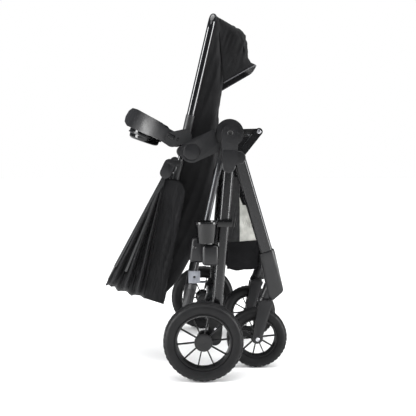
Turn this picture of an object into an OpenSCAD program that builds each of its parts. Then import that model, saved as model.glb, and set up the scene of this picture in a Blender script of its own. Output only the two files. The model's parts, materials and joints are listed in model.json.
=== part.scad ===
// Folding pushchair, stored folded and standing on its four wheels, with the seat left on.
// +X is the travel direction, +Z is up, the right-hand side is -Y. Millimetres.

/* [Rear frame] */
// Radius of the rear wheels
rear_wheel_r = 120; // [105:1:126]
// Width of the rear tyres
rear_tyre_w = 46; // [30:1:50]
// Distance between the centre planes of the two rear wheels
rear_track = 590; // [586:1:620]
// Width of the rear legs, front to back
rear_leg_w = 31; // [22:1:36]
// Thickness of the rear legs, side to side
rear_leg_t = 22; // [16:1:24]
// Height of the main fold pivot
fold_z = 731; // [700:1:760]

/* [Front frame] */
// Radius of the front wheels
front_wheel_r = 96; // [80:1:100]
// Width of the front tyres
front_tyre_w = 40; // [28:1:44]
// Distance between the centre planes of the two front wheels
front_track = 330; // [322:1:332]
// Width of the front legs, front to back
front_leg_w = 40; // [28:1:42]
// Thickness of the front legs, side to side
front_leg_t = 21; // [14:1:22]
// Lean of the front legs when folded
front_lean = 17.1; // [15:0.1:19]
// Lean of the castor axis when folded
castor_lean = 20; // [14:0.5:24]

/* [Push handle] */
// Radius of the handle side tubes
handle_tube_r = 9.5; // [7:0.1:9.5]
// Radius of the sliding inner rods
inner_rod_r = 6; // [4:0.1:6.5]
// Radius of the padded grip
grip_r = 16; // [12:0.5:18]
// Travel of the telescoping handle
handle_travel = 90; // [40:5:90]

/* [Seat] */
// Radius of the upper seat rail
rail_r = 12; // [9:0.5:12]
// Radius of the lower seat rail
lower_rail_r = 8.5; // [6:0.5:8.5]
// Lean of the seat rails from upright
rail_lean = 13.2; // [12:0.1:14]
// Height of the top of the seat ring
seat_top = 1097; // [1060:1:1110]
// Thickness of the seat fabric walls
fabric_wall = 8; // [4:1:10]
// Radius of the canopy bows
canopy_reach = 384; // [340:1:392]

/* [Fits] */
// Radial clearance of running fits
run_fit = 0.05; // [0.02:0.01:0.1]
// Gap between neighbouring moving layers
layer_gap = 1; // [0.5:0.1:1.5]

/* [Hidden] */
$fn = 48;

plastic = "#2c2d30";
metal = "#3a3b3e";
rubber = "#1c1c1e";
cloth = "#18181b";
foam = "#232326";

function lean(z, z0, x0, angle) = x0 - (z0 - z) * tan(angle);

// Rear frame
leg_y = -rear_track / 2 + rear_tyre_w / 2 + 16;
leg_x0 = 50;
leg_z0 = 104;
leg_lean = 4.63;
function leg_x(z) = leg_x0 + (z - leg_z0) * tan(leg_lean);
rear_axle = [18, 0, rear_wheel_r];
fold_pin = [96, 0, fold_z];
leg_pin = [fold_pin[0] + 27, 0, fold_z - 72];
axle_r = 6;

// Side layers, measured from the middle plane of the chair
housing_in = -leg_y - rear_leg_t / 2 - layer_gap;
hub_out = housing_in - layer_gap;
hub_in = hub_out - 16;
lever_out = hub_in - layer_gap;
lever_in = lever_out - 10;
link_out = lever_in - layer_gap;
link_in = link_out - 4;
arm_y = -205;

// Fold geometry
hub_r = 38;
lever_tip = [fold_pin[0] + 88, 0, fold_z + 5];
link_end = [fold_pin[0] + 29.3, 0, fold_z + 5.4];

// Front frame
castor_y = -front_track / 2;
front_leg_len = 318;
front_dir = [sin(front_lean), 0, -cos(front_lean)];
front_top_y = -(housing_in - layer_gap - front_leg_t / 2);
front_leg_end = [leg_pin[0] + front_leg_len * front_dir[0], castor_y - 26,
    leg_pin[2] + front_leg_len * front_dir[2]];
front_leg_dir = (front_leg_end - [leg_pin[0], front_top_y, leg_pin[2]])
    / norm(front_leg_end - [leg_pin[0], front_top_y, leg_pin[2]]);
castor_top = [213, castor_y, 222];
castor_dir = [-sin(castor_lean), 0, -cos(castor_lean)];
front_axle = [186, castor_y, front_wheel_r];
stem_r = 8;

// Seat geometry
rail_y = 180;
rail_top = [50, 0, seat_top - rail_r];
seat_low = 225;
function rail_x(z) = lean(z, rail_top[2], rail_top[0], rail_lean);
recline = [-16, 0, 677];
mount_r = 33;
mount_tilt = 24;
canopy_pin = [-95, 0, 613];
tray_pin = [-75, 0, 714];
tray_tilt = 27;
sling_y = 166;
handle_top = [72, arm_y, fold_z - 67];
handle_neck = [handle_top[0] - 1, 0, handle_top[2] - 3];
handle_dir = [-sin(12.4), 0, -cos(12.4)];
function along(p, d, s) = [p[0] + d[0] * s, p[1] + d[1] * s, p[2] + d[2] * s];

// ---------------------------------------------------------------- helpers
module slab(y0, y1) translate([0, y1, 0]) rotate([90, 0, 0]) linear_extrude(y1 - y0) children();
module right_slab(out, in) slab(-out, -in) children();
module left() mirror([0, 1, 0]) children();
module disc(p, r, y0, y1) translate([p[0], y1, p[2]]) rotate([90, 0, 0]) cylinder(r=r, h=y1 - y0);
module spot(p, r) translate([p[0], p[2]]) circle(r);

// A solid of the given section that runs from p to q, section x along world X as far as it can
module between(p, q) {
    low = p[2] < q[2] ? p : q;
    d = (p[2] < q[2] ? q : p) - low;
    len = norm(d);
    translate(low) rotate([0, acos(d[2] / len), atan2(d[1], d[0])]) linear_extrude(len)
        rotate(-atan2(d[1], d[0])) children();
}
module rod(p, q, r) between(p, q) circle(r);
module oval(w, t) {
    square([w - t, t], center=true);
    for (s = [-1, 1]) translate([s * (w - t) / 2, 0]) circle(t / 2);
}
module bar2d(p, q, r) {
    d = [q[0] - p[0], q[2] - p[2]];
    translate([p[0], p[2]]) rotate(atan2(d[1], d[0])) {
        translate([0, -r]) square([norm(d), 2 * r]);
        circle(r);
        translate([norm(d), 0]) circle(r);
    }
}
// A bent tube's corner is a ball that stands a little proud of the tube
module knuckle(p, r) translate(p) sphere(r + 0.3);
module tube_path(points, r) {
    for (i = [0 : len(points) - 2]) rod(points[i], points[i + 1], r);
    for (i = [1 : len(points) - 2]) knuckle(points[i], r);
}

// ---------------------------------------------------------------- rear frame
module rear_leg_right() color(metal) difference() {
    between([leg_x(leg_z0 + 30), leg_y, leg_z0 + 30], [leg_x(fold_z - 60), leg_y, fold_z - 60])
        oval(rear_leg_w, rear_leg_t);
    rear_leg_bore();
}
module rear_leg_bore()
    between([leg_x(leg_z0 + 20), leg_y, leg_z0 + 20], [leg_x(fold_z - 50), leg_y, fold_z - 50])
        oval(rear_leg_w - 4, rear_leg_t - 4);
module rear_leg_left() left() rear_leg_right();

// Moulded housing at the top of the rear leg, with the eye that carries the front leg
housing_out = -leg_y + rear_leg_t / 2 + 9;
sleeve_bottom = [fold_pin[0] - 4, 0, fold_z - 114];
module hub_housing_right() color(plastic) {
    difference() {
        union() {
            right_slab(housing_out, housing_in) bar2d([fold_pin[0] - 1, 0, fold_z - 79], fold_pin, 23);
            right_slab(housing_out - 3, housing_in) bar2d(sleeve_bottom + [0, 0, 18],
                sleeve_bottom + [2, 0, 46], 19);
            right_slab(housing_out - 10, housing_in) bar2d(leg_pin, sleeve_bottom + [8, 0, 40], 19);
        }
        between([leg_x(fold_z - 160), leg_y, fold_z - 160],
            [leg_x(fold_z - 59.9), leg_y, fold_z - 59.9])
            oval(rear_leg_w + 2 * run_fit, rear_leg_t + 2 * run_fit);
        disc(fold_pin, 7, -housing_out - 1, -housing_out + 8);
        disc(leg_pin, 5, -housing_out - 1, -housing_out + 14);
    }
    disc(fold_pin, axle_r, -housing_in - 0.01, -hub_in - 3);
    disc(leg_pin, axle_r, -housing_in - 0.01, front_top_y + front_leg_t / 2 + 2);
}
module hub_housing_left() left() hub_housing_right();

beam_z = 176;
module rear_axle_beam() color(metal) difference() {
    rod([leg_x(beam_z) - 12, leg_y + rear_leg_t / 2 + 0.3, beam_z],
        [leg_x(beam_z) - 12, -leg_y - rear_leg_t / 2 - 0.3, beam_z], 13);
    rod([leg_x(beam_z) - 12, leg_y, beam_z], [leg_x(beam_z) - 12, -leg_y, beam_z], 11);
}

// Lower housing: leg socket, beam boss and the stub axle of the rear wheel
module wheel_housing_right() color(plastic) {
    difference() {
        union() {
            right_slab(-leg_y + rear_leg_t / 2 + 2, -leg_y - rear_leg_t / 2 - 3)
                bar2d([leg_x(120), 0, 120], [leg_x(186), 0, 186], 21);
            right_slab(-leg_y + rear_leg_t / 2 + 2, -leg_y - rear_leg_t / 2 - 3)
                bar2d(rear_axle, [leg_x(122), 0, 124], 19);
            right_slab(-leg_y + 4, -leg_y - rear_leg_t / 2 - 20)
                spot([leg_x(beam_z) - 12, 0, beam_z], 18);
        }
        between([leg_x(leg_z0 + 30), leg_y, leg_z0 + 30], [leg_x(240), leg_y, 240])
            oval(rear_leg_w + 2 * run_fit, rear_leg_t + 2 * run_fit);
        disc([leg_x(beam_z) - 12, 0, beam_z], 13 + run_fit, leg_y + rear_leg_t / 2 + 0.2,
            leg_y + rear_leg_t / 2 + 30);
    }
    disc(rear_axle, axle_r, -rear_track / 2 - 14, leg_y - rear_leg_t / 2 - 1.99);
}
module wheel_housing_left() left() wheel_housing_right();

ring_z = 468;
cup_c = [27, leg_y - 4];
module cup_holder() color(plastic) {
    translate([cup_c[0], cup_c[1], 0]) difference() {
        union() {
            translate([0, 0, ring_z - 4]) cylinder(r=36, h=8);
            translate([0, 0, ring_z - 60]) cylinder(r1=27, r2=33, h=58);
        }
        translate([0, 0, ring_z - 57]) cylinder(r1=25, r2=31, h=80);
    }
    difference() {
        translate([cup_c[0] + 33, leg_y - rear_leg_t / 2 - 8, ring_z - 11])
            cube([rear_leg_w + 12, rear_leg_t + 12, 22]);
        between([leg_x(ring_z - 60), leg_y, ring_z - 60], [leg_x(ring_z + 60), leg_y, ring_z + 60])
            oval(rear_leg_w + 2 * run_fit, rear_leg_t + 2 * run_fit);
        translate([cup_c[0], cup_c[1], ring_z - 60]) cylinder(r=35.5, h=120);
    }
}

catch_z = 371;
module fold_catch() color(plastic) difference() {
    translate([14, leg_y - rear_leg_t / 2 - 4, catch_z - 32])
        cube([leg_x(catch_z) - 14 - rear_leg_w / 2 + 8, rear_leg_t + 8, 64]);
    between([leg_x(catch_z - 60), leg_y, catch_z - 60], [leg_x(catch_z + 60), leg_y, catch_z + 60])
        oval(rear_leg_w + 2 * run_fit, rear_leg_t + 2 * run_fit);
}

// Open-topped basket: floor, low front panel and sides that follow the front leg
basket_y = 175;
module basket_side() polygon([[84, 604], [84, 352], [98, 340], [184, 340], [196, 352], [196, 404]]);
module storage_basket() color(cloth) difference() {
    slab(-basket_y, basket_y) basket_side();
    slab(-basket_y + 5, basket_y - 5) polygon([[89, 640], [89, 356], [100, 346], [182, 346],
        [191, 356], [191, 640]]);
}

module screw(p, r, y) disc(p, r, y - 3, y);
module frame_screws() color("#9a9b9e") for (s = [0, 1]) mirror([0, s, 0]) {
    screw(leg_pin, 4.9, -housing_out + 14);
    screw([leg_x(150), 0, 150], 4, leg_y - rear_leg_t / 2 - 2);
    screw([leg_x(186), 0, 186], 4, leg_y - rear_leg_t / 2 - 2);
}

// ---------------------------------------------------------------- wheels
// Tyre section: rounded tread with a shallow groove, bored to the rim
module tyre(r, w, wall) difference() {
    rotate_extrude() difference() {
        union() {
            translate([r - wall, -w / 2 + 5]) square([wall - 3, w - 10]);
            translate([r - 12, -w / 2 + 12]) circle(12);
            translate([r - 12, w / 2 - 12]) circle(12);
            translate([r - 12, -w / 2 + 12]) square([12, w - 24]);
            translate([r - wall, -w / 2 + 4]) square([wall - 12, w - 8]);
        }
        for (s = [-1, 1]) translate([r, s * w / 9]) square([3, 3], center=true);
    }
    translate([0, 0, -w]) cylinder(r=r - wall, h=2 * w);
}
module rim(r_out, w, bore_r, hub_radius, spoke_w) {
    difference() {
        cylinder(r=r_out, h=w - 10, center=true);
        cylinder(r=r_out - 6, h=w, center=true);
    }
    difference() {
        union() {
            cylinder(r=hub_radius, h=w - 4, center=true);
            for (i = [0 : 9]) rotate(i * 36 + 6) translate([hub_radius - 2, -spoke_w / 2, -6])
                cube([r_out - hub_radius - 2, spoke_w, 12]);
        }
        cylinder(r=bore_r, h=2 * w, center=true);
    }
}
module wheel_place(c, y) translate([c[0], y, c[2]]) rotate([90, 0, 0]) children();
rear_wall = rear_wheel_r * 0.3;
module rear_tyre_right() color(rubber) wheel_place(rear_axle, -rear_track / 2)
    tyre(rear_wheel_r, rear_tyre_w, rear_wall);
module rear_tyre_left() left() rear_tyre_right();
module rear_rim_right() color(plastic) wheel_place(rear_axle, -rear_track / 2) {
    rim(rear_wheel_r - rear_wall, rear_tyre_w, axle_r + run_fit, 24, 3.4);
    translate([0, 0, 15]) difference() {
        cylinder(r=27, h=9);
        translate([0, 0, -1]) cylinder(r=22, h=7);
    }
}
module rear_rim_left() left() rear_rim_right();

front_wall = front_wheel_r * 0.34;
module front_tyre_right() color(rubber) wheel_place(front_axle, castor_y)
    tyre(front_wheel_r, front_tyre_w, front_wall);
module front_tyre_left() left() front_tyre_right();
front_bolt_r = 5;
module front_rim_right() color(plastic) wheel_place(front_axle, castor_y)
    rim(front_wheel_r - front_wall, front_tyre_w, front_bolt_r + run_fit, 17, 3);
module front_rim_left() left() front_rim_right();

// ---------------------------------------------------------------- brake
pedal_pin = [leg_x(beam_z) - 12, 0, beam_z];
module brake_pedal() color(plastic) difference() {
    union() {
        slab(-38, 38) spot(pedal_pin, 19);
        slab(-34, 34) bar2d(pedal_pin - [14, 0, 10], pedal_pin - [58, 0, 30], 7);
    }
    disc(pedal_pin, 13 + run_fit, -60, 60);
}

// ---------------------------------------------------------------- fold hubs and push handle
module fold_hub_right() color(plastic) difference() {
    union() {
        right_slab(hub_out, hub_in) spot(fold_pin, hub_r);
        right_slab(hub_out - 4, hub_in) spot(fold_pin, hub_r + 4);
        right_slab(hub_out - 3, hub_in) bar2d(fold_pin - [34, 0, 16], fold_pin - [52, 0, 24], 20);
        right_slab(hub_out - 3, hub_in) bar2d(fold_pin - [16, 0, 30], handle_neck, 9);
    }
    disc(fold_pin, axle_r + run_fit, -hub_out - 1, -hub_in - 2);
}
module fold_hub_left() left() fold_hub_right();

// Rounded seat mount, cut back clear of the hub, with the recline socket on its inner face
socket_r = 20;
button_r = 24;
mount_in = 196;
mount_out = hub_out + 5;
mount_len = 88;
module seat_mount_right() color(plastic) difference() {
    right_slab(mount_out, mount_in) bar2d(recline,
        recline + [mount_len * cos(mount_tilt), 0, mount_len * sin(mount_tilt)], mount_r);
    disc(fold_pin, hub_r + 6, -mount_out - 1, -mount_in + 1);
    disc(fold_pin, hub_r + 14, -hub_in - 0.3, -mount_in + 1);
    right_slab(mount_out + 1, mount_in - 1) translate([fold_pin[0] - 33, fold_z - 66]) square(33);
    right_slab(hub_out - 2.7, hub_in - 0.3) bar2d(fold_pin - [30, 0, 14], fold_pin - [53, 0, 24.4], 20.3);
    right_slab(hub_out - 2.7, hub_in - 0.3) bar2d(fold_pin - [16, 0, 30], handle_neck, 9.3);
    disc(recline, socket_r + run_fit, -mount_in - 8, -mount_in + 1);
    disc(recline, button_r + run_fit, -mount_out - 1, -mount_out + 9);
}
module seat_mount_left() left() seat_mount_right();

module seat_release_right() color(plastic) disc(recline, button_r, -mount_out - 2, -mount_out + 4);
module seat_release_left() left() seat_release_right();

arm_len = 300;
module handle_arm_right() color("#5c5d61") {
    difference() {
        rod(handle_top, along(handle_top, handle_dir, arm_len), handle_tube_r);
        rod(along(handle_top, handle_dir, 40), along(handle_top, handle_dir, arm_len + 1),
            inner_rod_r + run_fit);
        rod(along(handle_top, handle_dir, arm_len - 31) + [0, -20, 0],
            along(handle_top, handle_dir, arm_len - 31), 4 + run_fit);
    }
    right_slab(hub_in, -arm_y - 8) bar2d(handle_neck, handle_neck - [3, 0, 10], 9);
}
module handle_arm_left() left() handle_arm_right();

module handle_sleeves() color(plastic) for (s = [0, 1]) mirror([0, s, 0]) difference() {
    translate(along(handle_top, handle_dir, arm_len - 64) - [4, 0, 0]) rotate([0, 8, 0])
        translate([0, 0, -68]) linear_extrude(72) oval(36, 27);
    rod(along(handle_top, handle_dir, 100), along(handle_top, handle_dir, arm_len),
        handle_tube_r + run_fit);
    rod(along(handle_top, handle_dir, 100), along(handle_top, handle_dir, arm_len + 30),
        inner_rod_r + 0.5);
    rod(along(handle_top, handle_dir, arm_len - 31) + [0, -20, 0],
        along(handle_top, handle_dir, arm_len - 31), 4 + run_fit);
}
module height_button_right() color("#6a6b6f") rod(
    along(handle_top, handle_dir, arm_len - 31) + [0, -15.5, 0],
    along(handle_top, handle_dir, arm_len - 31) + [0, -10.5, 0], 4);
module height_button_left() left() height_button_right();

rod_start = arm_len - handle_travel - 90;
rod_end = arm_len + 112;
bar_at = along(handle_top, handle_dir, arm_len + 190);
bend = along(handle_top, handle_dir, rod_end);
bar_corner = [bar_at[0], arm_y + 45, bar_at[2]];
module handle_bar() color(metal) for (s = [0, 1]) mirror([0, s, 0]) {
    rod(along(handle_top, handle_dir, rod_start), bend, inner_rod_r);
    rod(along(handle_top, handle_dir, arm_len + 62), bend, handle_tube_r);
    knuckle(bend, handle_tube_r);
    rod(bend, bar_corner, handle_tube_r);
    knuckle(bar_corner, handle_tube_r);
    rod(bar_corner, [bar_at[0], 0.005, bar_at[2]], handle_tube_r);
}
trigger_w = 64;
module handle_grip() color(foam) difference() {
    union() {
        for (s = [0, 1]) mirror([0, s, 0]) {
            rod(along(handle_top, handle_dir, arm_len + 99), bend, grip_r - 2);
            knuckle(bend, grip_r - 2);
            rod(bend, bar_corner, grip_r - 2);
            knuckle(bar_corner, grip_r - 0.8);
        }
        disc(bar_at, grip_r, arm_y + 45, -arm_y - 45);
    }
    for (s = [0, 1]) mirror([0, s, 0]) {
        rod(along(handle_top, handle_dir, arm_len + 80), bend, handle_tube_r + run_fit);
        knuckle(bend, handle_tube_r + run_fit);
        rod(bend, bar_corner, handle_tube_r + run_fit);
        knuckle(bar_corner, handle_tube_r + run_fit);
    }
    disc(bar_at, handle_tube_r + run_fit, arm_y + 45, -arm_y - 45);
    translate([bar_at[0] - 10, -trigger_w / 2 - 0.4, bar_at[2] - 30]) cube([20, trigger_w + 0.8, 20.3]);
}
module fold_trigger() color("#55565a") difference() {
    translate([bar_at[0] - 9, -trigger_w / 2, bar_at[2] - grip_r - 6]) cube([18, trigger_w, 8]);
    disc(bar_at, handle_tube_r + 0.5, -60, 60);
}
plate_at = along(handle_top, handle_dir, arm_len + 76);
module lock_brackets() color("#b9babd") for (s = [0, 1]) mirror([0, s, 0]) difference() {
    union() {
        translate([plate_at[0] - 18, arm_y - 13, plate_at[2] - 19]) cube([35, 4, 38]);
        translate([plate_at[0] - 18, arm_y - 13, plate_at[2] - 19]) cube([52, 26, 3]);
    }
    disc(plate_at, 4, -300, 0);
    rod(along(handle_top, handle_dir, arm_len), bend, handle_tube_r + run_fit);
}

// ---------------------------------------------------------------- front frame
module front_leg_right() color(metal) difference() {
    union() {
        between([leg_pin[0], front_top_y, leg_pin[2]], front_leg_end)
            oval(front_leg_w, front_leg_t);
        disc(leg_pin, front_leg_w / 2, front_top_y - front_leg_t / 2,
            front_top_y + front_leg_t / 2);
        right_slab(lever_out, lever_in) bar2d(leg_pin, lever_tip, 11);
    }
    disc(leg_pin, axle_r + run_fit, -housing_out, 0);
    disc(lever_tip, 5 + run_fit, -housing_out, 0);
}
module front_leg_left() left() front_leg_right();

// Lower front housing: leg socket, knee and the bearing of the castor stem
module front_housing_right() color(plastic) difference() {
    union() {
        hull() {
            between(front_leg_end - 18 * front_leg_dir, front_leg_end)
                oval(front_leg_w + 9, front_leg_t + 9);
            translate([249, castor_y - 4, 252]) rotate([90, 0, 0])
                cylinder(r=17, h=34, center=true, $fn=32);
            translate(castor_top + [19, 0, 6]) rotate([90, 0, 0])
                cylinder(r=11, h=36, center=true, $fn=32);
        }
        rod(castor_top - 44 * castor_dir, castor_top + 1 * castor_dir, 19);
    }
    between(front_leg_end - 30 * front_leg_dir, front_leg_end + 0.01 * front_leg_dir)
        oval(front_leg_w + 0.4, front_leg_t + 0.4);
    rod(castor_top - 30 * castor_dir, castor_top + 10 * castor_dir, stem_r + run_fit);
    rod([brace_at[0], -190, brace_at[2]], [brace_at[0], -150, brace_at[2]], 11 + run_fit);
}
module front_housing_left() left() front_housing_right();
brace_at = leg_pin + 366 * front_dir;
module front_brace() color(metal) difference() {
    disc(brace_at, 11, -189, 189);
    disc(brace_at, 9, -190, 190);
}

// Wedge-shaped drive link between the lever tip and the hub
module drive_link_right() color(metal) {
    right_slab(link_out, link_in) difference() {
        union() {
            spot(lever_tip, 12);
            polygon([[link_end[0], link_end[2] - 17], [lever_tip[0] - 2, lever_tip[2] - 11.9],
                [lever_tip[0] + 2, lever_tip[2] + 11.9], [link_end[0], link_end[2] + 17]]);
            spot(link_end, 17);
        }
        spot(link_end, 6);
    }
    disc(lever_tip, 5, -lever_out + 2, -link_in);
    disc(lever_tip, 8, -lever_out - 0.8, -lever_out - 0.1);
    disc(lever_tip, 5, -lever_out - 1, -lever_out + 3);
}
module drive_link_left() left() drive_link_right();

fork_gap = front_tyre_w / 2 + 3;
crown_at = castor_top + 2 * castor_dir;
module castor_fork_right() color(plastic) {
    difference() {
        union() {
            rod(crown_at, crown_at + 14 * castor_dir, 21);
            for (s = [-1, 1]) translate([0, castor_y + s * (fork_gap + 3.5), 0])
                slab(-3.5, 3.5) {
                    polygon([[crown_at[0] - 25, crown_at[2] - 15], [crown_at[0] + 19, crown_at[2] - 15],
                        [front_axle[0] + 14, front_axle[2]], [front_axle[0] - 14, front_axle[2]]]);
                    spot(front_axle, 14);
                    bar2d(crown_at + [-8, 0, -12], crown_at + [10, 0, -14], 11);
                }
            translate([crown_at[0] - 22, castor_y - fork_gap - 7, crown_at[2] - 15])
                cube([40, 2 * fork_gap + 14, 9]);
        }
        translate([0, castor_y, 0]) wheel_place(front_axle, 0)
            cylinder(r=front_wheel_r + 4, h=2 * fork_gap - 0.5, center=true, $fn=96);
    }
    rod(castor_top - 28 * castor_dir, crown_at + 2 * castor_dir, stem_r);
    disc(front_axle, front_bolt_r, castor_y - fork_gap - 10, castor_y + fork_gap + 10);
}
module castor_fork_left() left() castor_fork_right();

// ---------------------------------------------------------------- seat
corner = 46;
split_z = 690;
module seat_frame() color("#141416") {
    for (s = [0, 1]) mirror([0, s, 0]) {
        tube_path([[rail_top[0], 0.005, rail_top[2]], [rail_top[0], -rail_y + corner, rail_top[2]],
            [rail_x(rail_top[2] - corner), -rail_y, rail_top[2] - corner],
            [rail_x(split_z), -rail_y, split_z]], rail_r);
        tube_path([[rail_x(split_z + 1), -rail_y, split_z + 1],
            [rail_x(seat_low + corner), -rail_y, seat_low + corner],
            [rail_x(seat_low), -rail_y + corner, seat_low],
            [rail_x(seat_low), 0.005, seat_low]], lower_rail_r);
        difference() {
            right_slab(mount_in - 0.5, rail_y - rail_r) bar2d(recline,
                [rail_x(recline[2]), 0, recline[2]], 17);
            rod([rail_x(760), -rail_y, 760], [rail_x(600), -rail_y, 600], rail_r - 0.5);
        }
        disc(recline, socket_r, -mount_in - 7, -mount_in + 8);
    }
}
sleeve_r = rail_r + 1.5;
module rail_sleeves() color("#4a4b4f") for (s = [0, 1]) mirror([0, s, 0]) {
    difference() {
        rod([rail_x(786), -rail_y, 786], [rail_x(714), -rail_y, 714], sleeve_r);
        rod([rail_x(790), -rail_y, 790], [rail_x(700), -rail_y, 700], rail_r + 0.02);
    }
    right_slab(mount_in - 0.5, rail_y + rail_r + 0.4) bar2d(tray_pin, [rail_x(722) - 3, 0, 722], 22);
    disc(tray_pin, 8, -rail_y - rail_r - 0.41, -rail_y + 6);
    difference() {
        rod([rail_x(648), -rail_y, 648], [rail_x(590), -rail_y, 590], lower_rail_r + 2);
        rod([rail_x(655), -rail_y, 655], [rail_x(580), -rail_y, 580], lower_rail_r + 0.02);
    }
}

bow_t = 4;
bow_y1 = rail_y + rail_r + 4;
function bow_y(i) = bow_y1 + (i - 1) * (bow_t + 0.4);
module canopy_mounts() color(plastic) for (s = [0, 1]) mirror([0, s, 0]) {
    clip = [rail_x(642), 0, 642];
    difference() {
        union() {
            right_slab(bow_y(4) + 6, bow_y(4)) bar2d(canopy_pin, canopy_pin + [12, 0, 25], 17);
            right_slab(bow_y(4) + 5, rail_y + 2) translate([clip[0] - 19, clip[2] - 9])
                square([19, 18]);
        }
        rod([rail_x(700), -rail_y, 700], [rail_x(580), -rail_y, 580], lower_rail_r + 2.05);
        disc(canopy_pin + [12, 0, 25], 3.5, -bow_y(4) - 7, -bow_y(4) - 3);
    }
    disc(canopy_pin, 5, -bow_y(4) - 3, -bow_y(1) + 1);
}

// Outline of the fabric seat seen from the side: back of the shell from foot end to head end
shell_x = [64, 74, 80, 78, 66, 68, 64, 50, 22, -20, -62, -108];
shell_z = [1078, 1040, 960, 872, 797, 720, 640, 540, 430, 345, 270, 222];
function shell(inset) = [for (i = [0 : len(shell_x) - 1])
    [shell_x[i] - inset, shell_z[i] + (i > 7 ? inset * 0.55 : 0)]];
function rail_side(inset) = [for (z = [seat_low + 18, 640, rail_top[2] - 30])
    [rail_x(z) + inset, z]];
module canopy_side() right_slab(rail_y + lower_rail_r + 5, rail_y + lower_rail_r + 2.1)
    polygon([[canopy_pin[0], canopy_pin[2] - 17], [-48, canopy_pin[2] - 17],
        [-31, canopy_pin[2] - 40], [-104, 210], [-161, 229]]);
module seat_sling() color(cloth) {
    difference() {
        slab(-sling_y, sling_y) polygon(concat(shell(0), rail_side(rail_r + 2)));
        slab(-sling_y + fabric_wall, sling_y - fabric_wall)
            polygon(concat(shell(fabric_wall), rail_side(-40)));
    }
    canopy_side();
    mirror([0, 1, 0]) canopy_side();
}
pad_gap = 0.4;
pad_t = 9;
module lining(near, far, half) slab(-half, half) polygon(concat(
    [for (i = [1 : len(shell_x) - 2]) shell(near)[i]],
    [for (i = [len(shell_x) - 2 : -1 : 1]) shell(far)[i]]));
module seat_pad() color("#101013") lining(fabric_wall + pad_gap, fabric_wall + pad_gap + pad_t,
    sling_y - fabric_wall - 2);
strap_in = fabric_wall + 2 * pad_gap + pad_t;
module harness() color("#26272a") {
    for (y = [-58, 58]) translate([0, y, 0]) slab(-12, 12) polygon(concat(
        [for (i = [7 : 9]) shell(strap_in)[i]], [for (i = [9 : -1 : 7]) shell(strap_in + 2.5)[i]]));
    slab(-12, 12) polygon(concat([for (i = [4 : 5]) shell(strap_in)[i]],
        [for (i = [5 : -1 : 4]) shell(strap_in + 2.5)[i]]));
}
buckle_at = [68 - strap_in - 3, 0, 690];
module harness_buckle() color(plastic) difference() {
    translate([buckle_at[0] - 16, -24, buckle_at[2] - 22]) cube([16, 48, 44]);
    translate([buckle_at[0] - 17, -9.05, buckle_at[2] - 9.05]) cube([9, 18.1, 18.1]);
}
module buckle_button() color("#8a8b8f")
    translate([buckle_at[0] - 18, -9, buckle_at[2] - 9]) cube([6, 18, 18]);

// Boot-shaped cover at the foot end
pocket_y = 150;
module foot_pocket() color(cloth) difference() {
    slab(-pocket_y, pocket_y) polygon([[72, 1084], [140, 1036], [157, 990], [180, 942],
        [82, 876], [82.5, 960], [76.5, 1040], [68, 1078]]);
    slab(-pocket_y + 6, pocket_y - 6) polygon([[60, 1070], [133, 1030], [149, 988], [166, 944],
        [60, 874]]);
}

// ---------------------------------------------------------------- tray
tray_u = [-cos(tray_tilt), 0, sin(tray_tilt)];
tray_n = [sin(tray_tilt), 0, cos(tray_tilt)];
function tray_pt(a, b) = tray_pin + a * tray_u + b * tray_n;
tray_len = 177;
module tray_profile() {
    polygon([for (p = [tray_pt(0, -23.9), tray_pt(46, -19), tray_pt(80, -24),
        tray_pt(tray_len - 26, -28), tray_pt(tray_len - 10, -20), tray_pt(tray_len - 2, -4),
        tray_pt(tray_len - 5, 16), tray_pt(tray_len - 16, 30), tray_pt(tray_len - 34, 33),
        tray_pt(50, 30), tray_pt(38, 24), tray_pt(0, 23.9)]) [p[0], p[2]]]);
    spot(tray_pin, 24);
}
module tray_ring(out_y, out_len, in_y, in_len) difference() {
    slab(-200, 200) tray_profile();
    translate(tray_pin) rotate([0, tray_tilt, 0]) translate([0, 0, -60]) linear_extrude(120)
        difference() {
            translate([-400, -300]) square([800, 600]);
            translate([-(out_len - out_y), 0]) circle(out_y, $fn=96);
            translate([-(out_len - out_y), -out_y]) square([500, 2 * out_y]);
        }
    translate(tray_pin) rotate([0, tray_tilt, 0]) translate([0, 0, -60]) linear_extrude(120) {
        translate([-(in_len - in_y), 0]) circle(in_y, $fn=96);
        translate([-(in_len - in_y), -in_y]) square([500, 2 * in_y]);
    }
}
dish_a = 97;
dish_r = 56;
// Round snack pot on a plug in the tray's floor
module snack_pot() rotate([0, -8, 0]) {
    difference() {
        union() {
            translate([0, 0, -50]) cylinder(r1=40, r2=dish_r - 4, h=14);
            translate([0, 0, -36.01]) cylinder(r=dish_r, h=5);
        }
        translate([0, 0, -46]) cylinder(r1=38, r2=dish_r - 6, h=16);
    }
    translate([0, 0, -48]) cylinder(r=14, h=28);
}
module tray() color(plastic) {
    translate(tray_pin) rotate([0, tray_tilt, 0]) translate([-dish_a, 0, 0]) snack_pot();
    difference() {
        tray_ring(rail_y + rail_r - 1, tray_len, rail_y - rail_r + 1, tray_len - 22);
        disc(tray_pin, 8 + run_fit, -300, 300);
    }
    translate(tray_pin) rotate([0, tray_tilt, 0]) difference() {
        translate([-(tray_len - rail_y - 11), 0, -22]) intersection() {
            cylinder(r=rail_y - 10.9, h=30, $fn=96);
            translate([-400, -400, 0]) cube([346, 800, 30]);
        }
        translate([-(tray_len - rail_y - 11), 0, -18]) intersection() {
            cylinder(r=rail_y - 16, h=60, $fn=96);
            translate([-400, -400, 0]) cube([341, 800, 60]);
        }
    }
}

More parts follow.
